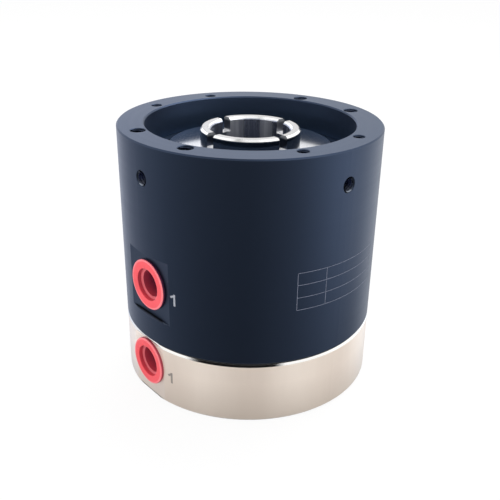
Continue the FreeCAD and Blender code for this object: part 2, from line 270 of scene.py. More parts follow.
def makeSoftWaves(streakCount=4.0, streakGain=4.0):
    # Broad soft bands round the axis for painted highlights and reflections at fixed angles: half of 1 +
    # cos(count * (angle - peak)), with the streaks' noise to break them up
    tree, given, result = newGroup("softWaves", {"Count": 9.0, "Peak": 0.0, "Noise": 0.4}, ("Shade",))
    x, y, z = splitVector(tree, objectPlace(tree))
    angle = mathNode(tree, "SUBTRACT", mathNode(tree, "ARCTAN2", y, x), given["Peak"])
    cosine = mathNode(tree, "COSINE", product(tree, angle, given["Count"]))
    wave = mathNode(tree, "MULTIPLY_ADD", cosine, 0.5, 0.5)
    streaks = useGroup(tree, drawnStreaks, {"Count": streakCount})["Shade"]
    broken = product(tree, mathNode(tree, "SUBTRACT", streaks, 0.5), given["Noise"], streakGain)
    setSockets(tree, result, {"Shade": mathNode(tree, "ADD", wave, broken, clamp=True)})
    return tree


def makeHeightBand():
    # One between two heights and nought outside them
    tree, given, result = newGroup("heightBand", {"Low": 0.0, "High": 0.01, "Soft": 0.00005}, ("Mask",))
    height = splitVector(tree, objectPlace(tree))[2]
    lowSoft = mathNode(tree, "ADD", given["Low"], given["Soft"])
    highSoft = mathNode(tree, "ADD", given["High"], given["Soft"])
    above = remap(tree, height, given["Low"], lowSoft)
    below = remap(tree, height, given["High"], highSoft, 1.0, 0.0)
    setSockets(tree, result, {"Mask": product(tree, above, below)})
    return tree


def makeCrossFaces():
    # One on the faces of two crossed slots: turned into the slots' own frame, a point is on them where it
    # is nearer to either middle plane than half a slot, above the slots' floor and outside the bore
    inputs = {"Turn": 0.0, "Half width": 0.00187, "Floor": 0.093, "Bore": 0.0149}
    tree, given, result = newGroup("crossFaces", inputs, ("Mask",))
    place = {"Vector": objectPlace(tree), "Angle": given["Turn"]}
    x, y, z = splitVector(tree, addNode(tree, "VectorRotate", place, rotation_type="Z_AXIS").outputs[0])
    away = [mathNode(tree, "ABSOLUTE", value) for value in (x, y)]
    onFace = mathNode(tree, "LESS_THAN", mathNode(tree, "MINIMUM", *away), given["Half width"])
    above = mathNode(tree, "GREATER_THAN", z, given["Floor"])
    outside = mathNode(tree, "GREATER_THAN", mathNode(tree, "MAXIMUM", *away), given["Bore"])
    setSockets(tree, result, {"Mask": product(tree, onFace, above, outside)})
    return tree


cornerLook = {
    "flat": 0.0486,           # distance of the milled flat from the turning axis
    "flatWithin": 0.00004,    # how near to it a point of the flat lies
    "ledgeFrom": 0.045,       # the ledge lies farther out than this
    "ledgeWithin": 0.00003,   # how near to the given height a point of the ledge lies
    "upright": 0.7,           # and how much it faces up
    "wide": 0.0013,           # how far the painted shade reaches out on the ledge
    "climb": 0.0010,          # and up on the flat
    "middle": -0.0012,        # sideways place of the painted shade's middle
    "halfLength": 0.0076,
    "fade": 0.003,            # length of its fading ends
}


def makeCornerShade(look):
    # The dark line of painted shade where a milled flat meets its ledge. Ledge: at the given height, facing
    # up, far
    # enough out on the given side. Shade: on the ledge near the flat or on the flat near the ledge, less
    # towards both ends
    tree, given, result = newGroup("cornerShade", {"Height": 0.035, "Side": -1.0}, ("Ledge", "PaintedShade"))
    x, y, z = splitVector(tree, objectPlace(tree))
    out = product(tree, y, given["Side"])
    facing = splitVector(tree, addNode(tree, "NewGeometry").outputs["Normal"])[2]
    upright = mathNode(tree, "GREATER_THAN", facing, look["upright"])
    farOut = mathNode(tree, "GREATER_THAN", out, look["ledgeFrom"])
    ledge = mathNode(tree, "COMPARE", z, given["Height"], look["ledgeWithin"])
    ledge = product(tree, ledge, upright, farOut)
    nearFlat = remap(tree, out, look["flat"], look["flat"] + look["wide"], 1.0, 0.0, "SMOOTHSTEP")
    onFlat = mathNode(tree, "COMPARE", out, look["flat"], look["flatWithin"])
    top = mathNode(tree, "ADD", given["Height"], look["climb"])
    nearLedge = remap(tree, z, given["Height"], top, 1.0, 0.0, "SMOOTHSTEP")
    shadeMask = mathNode(tree, "MAXIMUM", product(tree, ledge, nearFlat), product(tree, onFlat, nearLedge))
    across = product(tree, x, given["Side"], -1.0)
    away = mathNode(tree, "ABSOLUTE", mathNode(tree, "SUBTRACT", across, look["middle"]))
    ends = (look["halfLength"], look["halfLength"] + look["fade"])
    middle = remap(tree, away, *ends, 1.0, 0.0, "SMOOTHSTEP")
    setSockets(tree, result, {"Ledge": ledge, "PaintedShade": product(tree, shadeMask, middle)})
    return tree


turnedMarks = makeTurnedMarks()
fineGrain = makeFineGrain()
edgeWear = makeEdgeWear(wearLook)
handling = makeHandling(handlingLook)
nearAxis = makeNearAxis()
drawnStreaks = makeDrawnStreaks()
softWaves = makeSoftWaves()
heightBand = makeHeightBand()
crossFaces = makeCrossFaces()
cornerShade = makeCornerShade(cornerLook)
print("stage 3: shared surface effects made")


# What only some metals have: each function blends its part into a surface's tint, roughness and metal share

def newMaterial(name):
    made = bpy.data.materials.new(name)
    made.use_nodes = True
    return made, made.node_tree, made.node_tree.nodes["Principled BSDF"]


def bumpFrom(tree, height, strength, below=None, distance=0.0001):
    inputs = {"Height": height, "Strength": strength, "Distance": distance}
    if below is not None:
        inputs["Normal"] = below
    return addNode(tree, "Bump", inputs).outputs[0]


def bandMask(tree, low, high, soft=0.00005):
    return useGroup(tree, heightBand, {"Low": low, "High": high, "Soft": soft})["Mask"]


def axisMask(tree, within):
    return useGroup(tree, nearAxis, {"Within": within})["Mask"]


def waveShade(tree, count, peak, noise):
    return useGroup(tree, softWaves, {"Count": count, "Peak": math.radians(peak), "Noise": noise})["Shade"]


def blendIn(tree, surface, mask, **changes):
    for part, value in changes.items():
        mix = mixColours if part == "tint" else mixValues
        surface[part] = mix(tree, mask, surface[part], value)


def paintRecess(tree, surface, look):
    # The recess is painted a shade lighter, more so far down: painted light that lifts the shade inside it
    mask = product(tree, axisMask(tree, look["within"]), bandMask(tree, 0.0, look["top"]))
    deep = bandMask(tree, 0.0, look["deep"], look["fade"])
    tint = mixColours(tree, deep, look["colour"], look["deep colour"])
    blendIn(tree, surface, mask, tint=tint, rough=look["rough"])


def paintWaves(tree, surface, look):
    # Painted highlights: paler stretches round the wall
    shade = waveShade(tree, look["count"], look["peak"], look["noise"])
    blendIn(tree, surface, product(tree, shade, look["share"]), tint=look["colour"])


def paintBands(tree, surface, rings):
    # Rings between two heights, each over those before it
    for ring in rings:
        ring = {"soft": 0.00005, "share": 1.0, **ring}
        mask = product(tree, bandMask(tree, ring["low"], ring["high"], ring["soft"]), ring["share"])
        tint = ring["colour"]
        if "line colour" in ring:
            tint = mixColours(tree, surface["lines"], tint, ring["line colour"])
        blendIn(tree, surface, mask, tint=tint, rough=ring["rough"])
        if "metallic" in ring:
            blendIn(tree, surface, mask, metallic=ring["metallic"])


def paintBore(tree, surface, look):
    # The honed bore: wide waves of painted reflection on one side of it, and the honing's fine streaks,
    # between a dark and a pale tint
    sideMask = remap(tree, waveShade(tree, 1.0, look["middle"], 0.0), *look["ends"])
    wide = product(tree, waveShade(tree, look["waves"], look["peak"], look["wave noise"]), sideMask)
    fine = remap(tree, useGroup(tree, drawnStreaks, {"Count": look["count"]})["Shade"], *look["fine span"])
    share = mixValues(tree, look["fine share"], wide, fine)
    blendIn(tree, surface, axisMask(tree, look["within"]),
            tint=mixColours(tree, share, look["dark"], look["pale"]),
            rough=remap(tree, share, 0.0, 1.0, *look["rough"]),
            metallic=remap(tree, share, 0.0, 1.0, *look["metallic"]))


def paintSlots(tree, surface, look):
    # The crown's slots: painted shade low on their walls, lifted by painted light on one side, pale above and
    # on the floor
    shape = {"Turn": math.radians(-look["turn"]), "Half width": look["half"], "Floor": look["floor"],
             "Bore": look["bore"]}
    face = useGroup(tree, crossFaces, shape)["Mask"]
    upper = bandMask(tree, look["from"], 1.0, look["fade"])
    ground = bandMask(tree, 0.0, look["foot"], look["foot soft"])
    paler = remap(tree, waveShade(tree, 1.0, look["pale side"], 0.0), *look["pale span"])
    lower = mixColours(tree, paler, look["low colour"], look["pale low colour"])
    wall = mixColours(tree, upper, lower, look["colour"])
    tint = mixColours(tree, ground, wall, look["floor colour"])
    bright = mathNode(tree, "MAXIMUM", upper, ground)
    metallic = mixValues(tree, bright, look["low metallic"], look["metallic"])
    blendIn(tree, surface, face, tint=tint, rough=look["rough"], metallic=metallic)


def paintPockets(tree, surface, look):
    # Painted light on the ledge of each port's pocket, a paler, less metallic tone for its upward face, and
    # painted shade in the corner behind it
    for height, side in look["places"]:
        corner = useGroup(tree, cornerShade, {"Height": height, "Side": side})
        blendIn(tree, surface, corner["Ledge"], tint=look["lit ledge colour"], metallic=look["ledge metallic"])
        blendIn(tree, surface, corner["PaintedShade"], tint=look["painted shade colour"])


metalParts = {"recess": paintRecess, "waves": paintWaves, "bands": paintBands, "bore": paintBore,
              "slots": paintSlots, "pockets": paintPockets}


# Materials

def makeMetal(name, look):
    # One recipe for every metal here: lathe lines, grain, smears and worn edges at each metal's strength
    made, tree, shader = newMaterial(name)
    marks = useGroup(tree, turnedMarks, {"Lines per metre": look["lines"], "Waver": look["waver"]})
    grain = useGroup(tree, fineGrain, {"Grain size": look["grain"], "Patch size": look["patch"]})
    smears = useGroup(tree, handling, {"Patch size": look["smearSize"], "Cover": look["smears"]})["Mask"]
    wear = useGroup(tree, edgeWear, {"Width": look["edgeWidth"], "Strength": look["edge"]})["Mask"]
    lines = stretchNoise(tree, marks["Height"])
    blotch = product(tree, stretchNoise(tree, grain["Shade"]), look["blotch"])
    tint = mixColours(tree, lines, look["colour"], look["lineColour"])
    tint = mixColours(tree, blotch, tint, look["patchColour"])
    tint = mixColours(tree, wear, tint, look.get("edgeColour", look["colour"]))
    rough = stretchNoise(tree, marks["Shade"], *look["rough"])
    rough = mathNode(tree, "ADD", rough, product(tree, smears, look["smearRough"]))
    surface = {"tint": tint, "rough": rough, "metallic": look["metallic"], "lines": lines}
    for part, paint in metalParts.items():
        if part in look:
            paint(tree, surface, look[part])
    normal = bumpFrom(tree, marks["Height"], look["lineDepth"])
    normal = bumpFrom(tree, grain["Height"], look["grainDepth"], normal)
    setSockets(tree, shader, {"Base Color": surface["tint"], "Roughness": surface["rough"],
                              "Metallic": surface["metallic"], "Normal": normal, **look["fixed"]})
    return made


def makeMoulded(name, look):
    # Plastics and rubbers: a fine moulded grain, a slow change of shade and a dusty bloom; where the look
    # says so, an attribute of the piece's own paints a part of it in another colour, on the plug painted
    # shade and a painted highlight
    made, tree, shader = newMaterial(name)
    grain = useGroup(tree, fineGrain, {"Grain size": look["grain"], "Patch size": look["patch"]})
    bloom = useGroup(tree, handling, {"Patch size": look["bloomSize"], "Cover": look["bloom"]})["Mask"]
    wear = useGroup(tree, edgeWear, {"Width": look["edgeWidth"], "Strength": look["edge"]})["Mask"]
    tint = mixColours(tree, stretchNoise(tree, grain["Shade"]), look["colour"], look["patchColour"])
    tint = mixColours(tree, product(tree, bloom, look["bloomShare"]), tint, look["bloomColour"])
    tint = mixColours(tree, wear, tint, look.get("edgeColour", look["colour"]))
    for attribute, paint in look["painted"].items():
        mask = addNode(tree, "Attribute", attribute_name=attribute).outputs["Fac"]
        tint = mixColours(tree, mask, tint, paint)
    rough = stretchNoise(tree, grain["Shade"], *look["rough"])
    normal = bumpFrom(tree, grain["Height"], look["grainDepth"])
    setSockets(tree, shader, {"Base Color": tint, "Roughness": rough, "Normal": normal, **look["fixed"]})
    return made


restTurn = -1.9               # degrees that base and shaft stand turned against the housing
slotTurn = -1.0               # degrees that the crown's slots stand turned against the shaft's passages
# what a metal has where its own dictionary says nothing else
metalDefaults = {
    "metallic": 1.0, "edge": 0.0, "edgeWidth": 0.0003, "lines": 6000.0, "waver": 1.0, "lineDepth": 0.02,
    "grain": 0.00015, "grainDepth": 0.05, "patch": 0.004, "blotch": 0.3, "smearSize": 0.03, "smears": 0.4,
    "smearRough": 0.05, "fixed": {},
}
metalLooks = {
    "housingAnodised": {
        "metallic": 0.97, "colour": (0.0375, 0.054, 0.0925), "lineColour": (0.038, 0.0548, 0.0938),
        "patchColour": (0.0355, 0.050, 0.088), "edgeColour": (0.085, 0.105, 0.15), "edge": 0.30,
        "edgeWidth": 0.00035, "lines": 5200.0, "waver": 0.6, "lineDepth": 0.004, "grain": 0.00022,
        "grainDepth": 0.10, "patch": 0.02, "rough": (0.382, 0.402), "smears": 0.35, "smearRough": 0.03,
        "fixed": {"Specular Tint": (0.92, 0.95, 1.0)},
        # recess: painted light that lifts the shade inside the recess, more so far down
        "recess": {"within": 0.0399, "top": 0.1003, "deep": 0.0880, "fade": 0.0110, "rough": 0.42,
                   "colour": (0.046, 0.068, 0.119), "deep colour": (0.062, 0.103, 0.176)},
        # places: the ledge's height and the side of the port. The ledge's upward face gets painted light, and
        # its corner painted shade
        "pockets": {"places": ((0.035, -1.0), (0.051, 1.0)), "lit ledge colour": (0.10, 0.125, 0.18),
                    "ledge metallic": 0.2, "painted shade colour": (0.002, 0.002, 0.003)},
        # painted shade: the lowest edge is painted dark as the shadow line of the gap above the base
        "bands": ({"low": 0.0240, "high": 0.02486, "soft": 0.00008, "colour": (0.006, 0.008, 0.011),
                   "rough": 0.5},),
    },
    "baseSatin": {
        "metallic": 0.40, "colour": (0.81, 0.70, 0.61), "lineColour": (0.78, 0.67, 0.58),
        "patchColour": (0.77, 0.66, 0.57), "edgeColour": (0.92, 0.90, 0.87), "edge": 0.3,
        # waves: painted highlights, paler stretches round the wall at fixed angles
        "waves": {"count": 9.0, "peak": -21.0, "noise": 0.25, "share": 0.75, "colour": (0.97, 0.86, 0.76)},
        "lines": 7000.0, "waver": 1.5, "lineDepth": 0.08, "grain": 0.00018, "grainDepth": 0.06,
        "patch": 0.014, "rough": (0.36, 0.42), "blotch": 0.6, "fixed": {"Specular Tint": (0.60, 0.76, 0.96)},
        # the wall, with painted shade that darkens it towards the floor, the polished chamfer, the painted
        # shadow line under the housing, and the lowest edge, painted dark as a contact shadow
        "bands": (
            {"low": -0.016, "high": 0.0, "soft": 0.016, "colour": (0.60, 0.515, 0.44), "rough": 0.40,
             "share": 0.7},
            {"low": 0.02339, "high": 0.0262, "colour": (0.88, 0.87, 0.85), "rough": 0.05, "metallic": 1.0},
            {"low": 0.02408, "high": 0.0262, "colour": (0.02, 0.02, 0.02), "rough": 0.5, "metallic": 0.6},
            {"low": -0.001, "high": 0.0004, "colour": (0.16, 0.14, 0.12), "rough": 0.6},
        ),
    },
    "shaftSteel": {
        "colour": (0.72, 0.72, 0.73), "lineColour": (0.68, 0.68, 0.69), "patchColour": (0.68, 0.68, 0.68),
        "edgeColour": (0.88, 0.88, 0.88), "edge": 0.5, "edgeWidth": 0.00025, "lines": 6500.0, "waver": 2.0,
        "lineDepth": 0.012, "grain": 0.00030, "grainDepth": 0.008, "patch": 0.006, "rough": (0.04, 0.09),
        "smears": 0.3, "smearRough": 0.03,
        # bore: painted reflections in wide waves, over the honing's fine streaks
        "bore": {"count": 12.0, "within": 0.0152, "waves": 6.0, "peak": 166.0, "wave noise": 0.3,
                 "middle": 142.0, "ends": (0.86, 0.94), "fine span": (0.28, 0.72), "fine share": 0.28,
                 "dark": (0.20, 0.235, 0.34), "pale": (0.97, 0.98, 1.0), "rough": (0.24, 0.32),
                 "metallic": (1.0, 0.80)},
        # slots: painted shade low in the slots, painted light on one side
        "slots": {"turn": restTurn + slotTurn, "half": 0.00187, "floor": 0.09298, "bore": 0.0149,
                  "colour": (0.36, 0.37, 0.39), "low colour": (0.045, 0.056, 0.085),
                  "pale low colour": (0.24, 0.245, 0.27), "floor colour": (0.90, 0.90, 0.91),
                  "from": 0.0968, "fade": 0.0008, "foot": 0.0934, "foot soft": 0.0003, "pale side": 105.0,
                  "pale span": (0.45, 1.0), "rough": 0.30, "metallic": 0.5, "low metallic": 0.95},
        # from below: the shoulder, the crown's wall, its chamfers, and its end face, lapped to a satin white
        "bands": (
            {"low": 0.0915, "high": 0.09205, "colour": (0.66, 0.67, 0.70), "rough": 0.115},
            {"low": 0.0921, "high": 0.0973, "colour": (0.24, 0.245, 0.255), "rough": 0.07},
            {"low": 0.0973, "high": 0.09835, "colour": (1.0, 1.0, 0.99), "rough": 0.20,
             "line colour": (0.90, 0.90, 0.90)},
            {"low": 0.09836, "high": 0.0990, "colour": (0.50, 0.49, 0.49), "rough": 0.22,
             "line colour": (0.36, 0.355, 0.36)},
        ),
    },
    "rimThread": {
        "colour": (0.024, 0.034, 0.072), "lineColour": (0.021, 0.030, 0.064),
        "patchColour": (0.018, 0.026, 0.055), "edgeColour": (0.22, 0.27, 0.36), "edge": 0.5,
        "edgeWidth": 0.00012, "rough": (0.25, 0.32),
    },
    "sideThread": {
        "metallic": 0.5, "colour": (0.024, 0.036, 0.105), "lineColour": (0.021, 0.032, 0.095),
        "patchColour": (0.018, 0.028, 0.084), "edgeColour": (0.22, 0.27, 0.36), "edge": 0.5,
        "edgeWidth": 0.00012, "rough": (0.25, 0.32),
        # the hole's lower side is painted paler: a painted highlight on the thread there
        "bands": ({"low": 0.0, "high": 0.0868, "soft": 0.0008, "colour": (0.16, 0.18, 0.24), "rough": 0.22,
                   "metallic": 0.35},),
    },
    "sideEdge": {
        "colour": (0.050, 0.062, 0.092), "lineColour": (0.045, 0.056, 0.084),
        "patchColour": (0.040, 0.050, 0.076), "rough": (0.20, 0.26),
        # the lower lip is painted paler too: a painted highlight
        "bands": ({"low": 0.0, "high": 0.0865, "soft": 0.0003, "colour": (0.20, 0.225, 0.27),
                   "rough": 0.24},),
    },
    "screwBlack": {
        "colour": (0.045, 0.045, 0.048), "lineColour": (0.055, 0.055, 0.058),
        "patchColour": (0.035, 0.034, 0.035), "edgeColour": (0.30, 0.29, 0.28), "edge": 0.6,
        "edgeWidth": 0.0002, "lineDepth": 0.05, "grainDepth": 0.10, "rough": (0.34, 0.46),
    },
    "bearingSteel": {
        "colour": (0.62, 0.63, 0.64), "lineColour": (0.58, 0.59, 0.60), "patchColour": (0.60, 0.60, 0.60),
        "lines": 9000.0, "lineDepth": 0.04, "grain": 0.0002, "grainDepth": 0.02, "patch": 0.006,
        "rough": (0.10, 0.18),
    },
    "shieldSteel": {
        "colour": (0.42, 0.42, 0.44), "lineColour": (0.38, 0.38, 0.40), "patchColour": (0.36, 0.36, 0.37),
        "lines": 5000.0, "lineDepth": 0.05, "grain": 0.0002, "grainDepth": 0.04, "patch": 0.006,
        "rough": (0.28, 0.38),
    },
    "springSteel": {
        "colour": (0.085, 0.115, 0.175), "lineColour": (0.095, 0.125, 0.185),
        "patchColour": (0.070, 0.096, 0.150), "edgeColour": (0.20, 0.22, 0.26), "edge": 0.3,
        "edgeWidth": 0.0002, "lines": 3000.0, "lineDepth": 0.03, "grain": 0.0002, "grainDepth": 0.06,
        "rough": (0.28, 0.38),
    },
}
mouldedDefaults = {
    "edge": 0.0, "edgeWidth": 0.0003, "bloomSize": 0.008, "bloom": 0.4, "bloomShare": 0.1, "grain": 0.0001,
    "grainDepth": 0.1, "patch": 0.004, "painted": {}, "fixed": {},
}
laserDefaults = {"grainDepth": 0.3, "patch": 0.0012, "rough": (0.55, 0.7)}
mouldedLooks = {
    "plugPlastic": {
        "colour": (0.84, 0.071, 0.090), "patchColour": (0.80, 0.063, 0.082), "bloomColour": (1.0, 0.35, 0.36),
        "bloomShare": 0.15, "edgeColour": (1.0, 0.42, 0.44), "edge": 0.3, "grain": 0.00035, "patch": 0.006,
        # depth paints shade inside the cup and on the flange's side, and lip paints a highlight on the
        # flange's rounded edge and the step
        "rough": (0.42, 0.50), "painted": {"depth": (0.060, 0.010, 0.044), "lip": (0.95, 0.42, 0.46)},
        "fixed": {"Subsurface Weight": 0.06, "Subsurface Radius": (1.0, 0.25, 0.2),
                  "Subsurface Scale": 0.0006},
    },
    "sealRubber": {
        "colour": (0.018, 0.018, 0.019), "patchColour": (0.024, 0.024, 0.025),
        "bloomColour": (0.09, 0.09, 0.09), "grain": 0.0002, "grainDepth": 0.2, "rough": (0.5, 0.62),
    },
    "slideRingFilled": {
        "colour": (0.16, 0.105, 0.06), "patchColour": (0.12, 0.08, 0.045), "bloomColour": (0.25, 0.18, 0.10),
        "patch": 0.002, "rough": (0.40, 0.52),
    },
    "cageNylon": {
        "colour": (0.66, 0.54, 0.32), "patchColour": (0.60, 0.48, 0.27), "bloomColour": (0.75, 0.68, 0.5),
        "grain": 0.0003, "rough": (0.42, 0.55),
    },
    "laserPale": {
        **laserDefaults, "colour": (0.33, 0.345, 0.39), "patchColour": (0.29, 0.305, 0.35),
        "bloomColour": (0.40, 0.41, 0.45),
    },
    "laserLine": {
        **laserDefaults, "colour": (0.16, 0.18, 0.25), "patchColour": (0.10, 0.115, 0.165),
        "bloomColour": (0.24, 0.26, 0.32), "rough": (0.5, 0.65),
    },
    "laserDark": {
        **laserDefaults, "colour": (0.25, 0.215, 0.195), "patchColour": (0.29, 0.255, 0.23),
        "bloomColour": (0.38, 0.34, 0.31),
    },
}
materials = {name: makeMetal(name, {**metalDefaults, **look}) for name, look in metalLooks.items()}
for name, look in mouldedLooks.items():
    materials[name] = makeMoulded(name, {**mouldedDefaults, **look})

nodeMaterials = {
    "housing": "housingAnodised",
    "base_flange": "baseSatin",
    "through_shaft": "shaftSteel",
    "base_screws": "screwBlack",
    "locating_dowel": "bearingSteel",
    "passage_o_rings": "sealRubber",
    "retaining_ring": "springSteel",
    "dust_seal": "sealRubber",
}
for side in ("lower", "upper"):
    for part in ("inner_ring", "outer_ring", "balls"):
        nodeMaterials[f"{side}_bearing_{part}"] = "bearingSteel"
    nodeMaterials[f"{side}_bearing_cage"] = "cageNylon"
    nodeMaterials[f"{side}_bearing_shields"] = "shieldSteel"
for place in ("lower", "middle", "upper"):
    nodeMaterials[f"{place}_slide_ring"] = "slideRingFilled"
    nodeMaterials[f"{place}_seal_o_ring"] = "sealRubber"
for kind in ("housing", "base"):
    for number in (1, 2):
        nodeMaterials[f"{kind}_port_plug_{number}"] = "plugPlastic"
for name, materialName in nodeMaterials.items():
    data = nodes[name].data
    data.materials.clear()
    data.materials.append(materials[materialName])
print("stage 4: materials made for", len(nodeMaterials), "nodes")


# Mesh helpers

def gridPiece(name, points, material, sharpAngle, loop=False, capEnds=False):
    # points[i, j] is the j-th point of ring i, in millimetres. Each ring is closed, and with loop the last
    # ring joins the first. Doubles are merged and the faces point outward
    rows, columns = points.shape[:2]
    i, j = np.meshgrid(np.arange(rows if loop else rows - 1), np.arange(columns), indexing="ij")
    here, ahead = i * columns, (i + 1) % rows * columns
    beside = (j + 1) % columns
    faces = np.stack([here + j, ahead + j, ahead + beside, here + beside], axis=-1).reshape(-1, 4).tolist()
    if capEnds:
        faces.append(list(range(columns)))
        faces.append(list(range(rows * columns - 1, (rows - 1) * columns - 1, -1)))
    mesh = bpy.data.meshes.new(name)
    mesh.from_pydata((points * mm).reshape(-1, 3).tolist(), [], faces)
    mesh.update()
    mesh.materials.append(material)
    work = bmesh.new()
    work.from_mesh(mesh)
    bmesh.ops.remove_doubles(work, verts=work.verts, dist=1e-7)
    bmesh.ops.recalc_face_normals(work, faces=work.faces)
    work.to_mesh(mesh)
    work.free()
    mesh.shade_smooth()
    mesh.set_sharp_from_angle(angle=math.radians(sharpAngle))
    made = bpy.data.objects.new(name, mesh)
    scene.collection.objects.link(made)
    return made


def circle(steps):
    # Cosine and sine at even angles of a full turn
    theta = np.linspace(0, 2 * math.pi, steps, endpoint=False)
    return np.cos(theta), np.sin(theta)


def roundedOutline(corners, steps=6):
    # corners: (radius, height, fillet); each fillet is an arc that touches both straight runs
    points = []
    for number, (radius, height, fillet) in enumerate(corners):
        here = np.array((radius, height))
        if fillet == 0 or number in (0, len(corners) - 1):
            points.append(here[None])
            continue
        back = np.array(corners[number - 1][:2]) - here
        ahead = np.array(corners[number + 1][:2]) - here
        back = back / np.linalg.norm(back)
        ahead = ahead / np.linalg.norm(ahead)
        half = math.acos(float(np.clip(back @ ahead, -1, 1))) / 2
        centre = here + (back + ahead) / np.linalg.norm(back + ahead) * fillet / math.sin(half)
        start = here + back * fillet / math.tan(half) - centre
        end = here + ahead * fillet / math.tan(half) - centre
        firstAngle = math.atan2(start[1], start[0])
        sweep = (math.atan2(end[1], end[0]) - firstAngle + math.pi) % (2 * math.pi) - math.pi
        angles = firstAngle + sweep * np.linspace(0, 1, steps)
        points.append(centre + fillet * np.stack([np.cos(angles), np.sin(angles)], axis=-1))
    return np.concatenate(points)


def axisFrame(polar):
    # Unit vectors outward, sideways and up at a polar angle round the turning axis
    cosine, sine = math.cos(math.radians(polar)), math.sin(math.radians(polar))
    return np.array((cosine, sine, 0)), np.array((-sine, cosine, 0)), np.array((0, 0, 1.0))


def polarPoint(radius, polar, height):
    outward, sideways, up = axisFrame(polar)
    return radius * outward + height * up


def radialLathe(name, outline, polar, height, material, segments=96):
    # Turns (radius, distance) about a line that leaves the turning axis at a polar angle and a height
    outward, sideways, up = axisFrame(polar)
    aside, rise = circle(segments)
    ring = aside[:, None] * sideways + rise[:, None] * up
    points = outline[:, 0, None, None] * ring[None] + outline[:, 1, None, None] * outward + height * up
    return gridPiece(name, points, material, 35.0)


# Red transport plugs

plugLook = {
    "flangeThick": 1.2,
    "bodyRadius": 6.9,
    "bodyLength": 9.0,
    "ribRadius": 7.25,
    "ribThick": 0.8,
    "ribShares": (0.35, 0.7),    # where the ribs lie along the body
    "mouthRadius": 6.2,
    "mouthDepth": 1.8,
    "holeRadius": 5.15,
    "floorThick": 1.4,
    "edgeRound": 0.28,
    "lipRound": 0.38,       # the flange's outer edge
    "lipWide": 0.60,        # the flat strip beside it that pales with it
    "gateRadius": 0.9,      # the nub left where the mould was filled
    "gateHeight": 0.25,
    "wallDepth": 0.35,      # how dark the painted shade makes the cup's wall at its mouth, and how dark at its floor
    "floorDepth": 1.0,
    "stepDepth": 0.30,      # how dark the painted shade is on the step inside the mouth and on the flange's outer side
    "sideDepth": 1.0,
    "lipShare": 0.33,       # how pale the painted highlight makes the flange's edge and that step
    "stepShare": 0.22,
    "lowLight": 0.55,       # how much of the wall's painted shade goes where it faces up
}
# piece: CAD node, body, flange radius, distance of the port's flat from the axis, polar angle, height, and
# how strongly the painted shade darkens the cup
ports = {
    "housing_plug_1": ("housing_port_plug_1", "housing_plug_1", 9.7, 48.6, -90.0, 47.7, 1.0),
    "housing_plug_2": ("housing_port_plug_2", "housing_plug_2", 9.7, 48.6, 90.0, 63.7, 1.0),
    "base_plug_1": ("base_port_plug_1", "base_plug_1", 9.4, 49.1, -90.0 + restTurn, 14.1, 0.74),
    "base_plug_2": ("base_port_plug_2", "base_plug_2", 9.4, 49.1, 90.0 + restTurn, 14.1, 0.74),
}


def plugOutline(look, flangeRadius, flat):
    # (radius, distance) from the cup's floor over the mouth, the flange and the ribs to the body's end
    face = flat + look["flangeThick"]
    end = flat - look["bodyLength"]
    floor = end + look["floorThick"]
    step = face - look["mouthDepth"]
    lip = flangeRadius - look["lipWide"]
    gate, gateTop = look["gateRadius"], floor + look["gateHeight"]
    hole, mouth = look["holeRadius"], look["mouthRadius"]
    body, rib, thick = look["bodyRadius"], look["ribRadius"], look["ribThick"]
    corners = [
        (0, gateTop, 0), (gate, gateTop, 0.1), (gate + 0.3, floor, 0.1), (hole - 0.05, floor, 0.5),
        (hole, step, 0.2), (mouth - 0.05, step, 0.15), (mouth - 0.03, step + 0.35, 0),
        (mouth, face, look["edgeRound"]), (lip - 0.3, face, 0), (lip, face, 0),
        (flangeRadius, face, look["lipRound"]), (flangeRadius - 0.02, flat, 0.1), (body, flat, 0.2),
    ]
    for share in look["ribShares"]:
        low = flat - look["bodyLength"] * share
        corners += [(body, low + thick, 0.05), (rib, low + thick / 2, 0.1), (rib, low, 0.1),
                    (body, low - 0.05, 0.05)]
    corners += [(body, end + thick, 0.2), (body - thick, end, 0.2), (0, end, 0)]
    return roundedOutline(corners)


def shadePlug(plug, look, flangeRadius, flat, polar, height, darkness):
    # depth, painted shade: nought on the face, and inside the cup it grows with the distance below the face,
    # less so where the wall faces up, as if lit from above; the step stays pale and the flange's side is
    # painted dark. lip,
    # painted highlight: the flange's outer edge and the step. Small margins in millimetres take in the
    # vertices on each border
    vertices = np.empty(len(plug.data.vertices) * 3)
    plug.data.vertices.foreach_get("co", vertices)
    vertices = vertices.reshape(-1, 3) / mm
    outward, sideways, up = axisFrame(polar)
    rise = vertices @ up - height
    across = np.hypot(vertices @ sideways, rise)
    below = flat + look["flangeThick"] - vertices @ outward
    cupDepth = look["flangeThick"] + look["bodyLength"] - look["floorThick"]
    share = np.clip(below / cupDepth, 0, 1)
    inside = (across < look["mouthRadius"] + 0.02) & (below > 0.12) & (below < cupDepth + 0.1)
    wall, floor = look["wallDepth"] * darkness, look["floorDepth"] * (0.5 + 0.5 * darkness)
    level = wall + (floor - wall) * share ** 0.7
    lowness = np.clip(-rise / look["mouthRadius"], 0, 1)
    level = level * (1 - look["lowLight"] * lowness ** 2 * (1 - share))
    step = (np.abs(below - look["mouthDepth"]) < 0.16) & inside
    level = np.where(step, look["stepDepth"], level)
    side = (across > flangeRadius - 0.1) & (below > look["lipRound"] * 0.8)
    depth = np.where(inside, level, np.where(side, look["sideDepth"] * darkness ** 2, 0.0))
    lip = (across > flangeRadius - look["lipWide"] - 0.05) & (below < look["lipRound"] * 0.75)
    lip = np.where(step, look["stepShare"], lip * look["lipShare"])
    for name, values in (("depth", depth), ("lip", lip)):
        attribute = plug.data.attributes.new(name, "FLOAT", "POINT")
        attribute.data.foreach_set("value", values)


